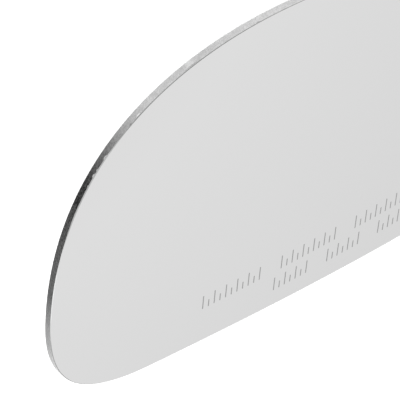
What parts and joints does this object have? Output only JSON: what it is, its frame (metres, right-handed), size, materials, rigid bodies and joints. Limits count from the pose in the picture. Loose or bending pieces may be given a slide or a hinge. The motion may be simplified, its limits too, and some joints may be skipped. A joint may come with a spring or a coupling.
{
  "type": "car door mirror glass",
  "caption": "Convex glass of a car door mirror: a bent sheet with a mirrored face, a ground edge, a broad rounded inner end and a nearly straight bottom edge.",
  "frame": {"origin": "middle of the glass's length and height, at the level of the rim that it rests on", "axes": "+X along the glass to its outer end, +Y up its face as it sits in the car, +Z out of its mirror face; the glass lies on the rim of its hollow back"},
  "size_m": [0.19, 0.1056, 0.0058],
  "materials": {
    "mirror_glass": "polished"
  },
  "bodies": {
    "root": {"mirror_glass": "mirror_glass"}
  },
  "joints": []
}
